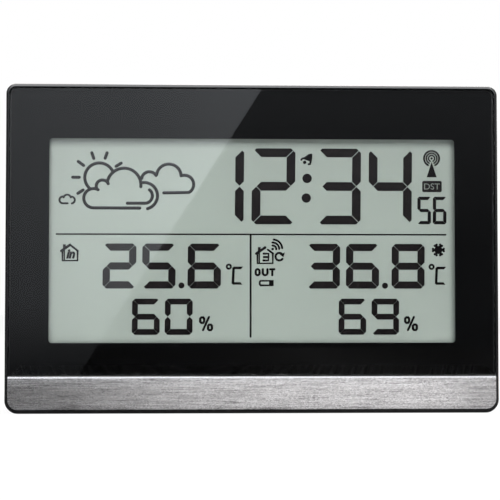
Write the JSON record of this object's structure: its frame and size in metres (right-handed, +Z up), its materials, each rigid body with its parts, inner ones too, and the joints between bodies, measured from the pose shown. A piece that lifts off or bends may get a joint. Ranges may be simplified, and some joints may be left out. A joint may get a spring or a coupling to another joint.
{
  "type": "home weather station",
  "caption": "Flat desk or wall weather station with a glossy front, segment display, brushed trim strip, fold-out stand, rear keys and battery door.",
  "frame": {"origin": "middle of the flat underside, halfway between the rim's front face and the back", "axes": "+X to the right seen from the front, +Y backwards, +Z up; the display faces -Y"},
  "size_m": [0.132, 0.0284, 0.088],
  "materials": {
    "case_black": "fine spark texture",
    "lens_clear": "polished, clear",
    "mask_black": "screen print behind the lens",
    "tape_white": "double-sided tape",
    "strip_aluminium": "brushed along its length, bright top chamfer",
    "foam_black": "closed-cell foam",
    "lcd_film": "satin polarizing film",
    "lcd_glass": "clear",
    "lcd_reflector": "satin reflecting film",
    "guide_clear": "clear acrylic",
    "lamp_white": "moulded lamp",
    "holder_white": "moulded",
    "zebra_rubber": "silicone",
    "board_green": "solder resist over glass fibre",
    "screw_steel": "zinc plated",
    "screw_black": "blackened",
    "resin_black": "epoxy",
    "component_body": "mixed small parts",
    "module_blue": "solder resist, tinned can",
    "aerial_copper": "enamelled wire",
    "sensor_white": "moulded",
    "switch_black": "moulded",
    "plunger_white": "moulded",
    "key_black": "satin",
    "ferrite_grey": "sintered",
    "cell_wrap": "plain printed wrapper",
    "contact_nickel": "nickel plated",
    "lead_red": "PVC",
    "lead_black": "PVC"
  },
  "bodies": {
    "case": {"front_lens": "lens_clear", "lens_mask": "mask_black", "lens_tape": "tape_white", "trim_strip": "strip_aluminium", "trim_tape": "tape_white", "front_housing": "case_black", "lcd_gasket": "foam_black", "lcd_front_polarizer": "lcd_film", "lcd_front_glass": "lcd_glass", "lcd_rear_glass": "lcd_glass", "lcd_rear_polarizer": "lcd_reflector", "light_guide": "guide_clear", "backlight_leds": "lamp_white", "lcd_holder": "holder_white", "zebra_strips": "zebra_rubber", "main_board": "board_green", "board_screws": "screw_steel", "processor": "resin_black", "board_components": "component_body", "radio_module": "module_blue", "radio_antenna": "aerial_copper", "humidity_sensor": "sensor_white", "snooze_switch": "switch_black", "rear_cover": "case_black", "case_screws": "screw_black", "key_board": "board_green", "key_board_screws": "screw_steel", "key_switches": "switch_black", "pin_header": "switch_black", "buzzer": "resin_black", "ferrite_rod": "ferrite_grey", "antenna_coil": "aerial_copper", "battery_left": "cell_wrap", "battery_right": "cell_wrap", "contact_negative": "contact_nickel", "contact_positive": "contact_nickel", "contact_bridge": "contact_nickel", "stand_pin": "screw_steel", "negative_lead": "lead_black", "positive_lead": "lead_red"},
    "stand": {"stand": "case_black"},
    "battery_door": {"battery_door": "case_black"},
    "snooze": {"snooze_bar": "case_black", "snooze_plunger": "plunger_white"},
    "set_key": {"set_key": "key_black", "set_key_plunger": "plunger_white"},
    "alarm_key": {"alarm_key": "key_black", "alarm_key_plunger": "plunger_white"},
    "channel_key": {"channel_key": "key_black", "channel_key_plunger": "plunger_white"},
    "up_key": {"up_key": "key_black", "up_key_plunger": "plunger_white"},
    "down_key": {"down_key": "key_black", "down_key_plunger": "plunger_white"},
    "unit_key": {"unit_key": "key_black", "unit_key_plunger": "plunger_white"}
  },
  "joints": [
    {"name": "stand_fold", "type": "hinge", "parent": "case", "child": "stand", "pos_m": [0, 0.0122, 0.046], "axis": [1, 0, 0], "range_deg": [0, 25]},
    {"name": "battery_door_swing", "type": "hinge", "parent": "case", "child": "battery_door", "pos_m": [0.0446, 0.014, 0.0148], "axis": [-1, 0, 0], "range_deg": [0, 75]},
    {"name": "snooze_press", "type": "slide", "parent": "case", "child": "snooze", "axis": [0, 0, -1], "range_m": [0, 0.0006], "stiffness_N_per_m": 600},
    {"name": "set_key_press", "type": "slide", "parent": "case", "child": "set_key", "axis": [0, -1, 0], "range_m": [0, 0.0005], "stiffness_N_per_m": 400},
    {"name": "alarm_key_press", "type": "slide", "parent": "case", "child": "alarm_key", "axis": [0, -1, 0], "range_m": [0, 0.0005], "stiffness_N_per_m": 400},
    {"name": "channel_key_press", "type": "slide", "parent": "case", "child": "channel_key", "axis": [0, -1, 0], "range_m": [0, 0.0005], "stiffness_N_per_m": 400},
    {"name": "up_key_press", "type": "slide", "parent": "case", "child": "up_key", "axis": [0, -1, 0], "range_m": [0, 0.0005], "stiffness_N_per_m": 400},
    {"name": "down_key_press", "type": "slide", "parent": "case", "child": "down_key", "axis": [0, -1, 0], "range_m": [0, 0.0005], "stiffness_N_per_m": 400},
    {"name": "unit_key_press", "type": "slide", "parent": "case", "child": "unit_key", "axis": [0, -1, 0], "range_m": [0, 0.0005], "stiffness_N_per_m": 400}
  ]
}
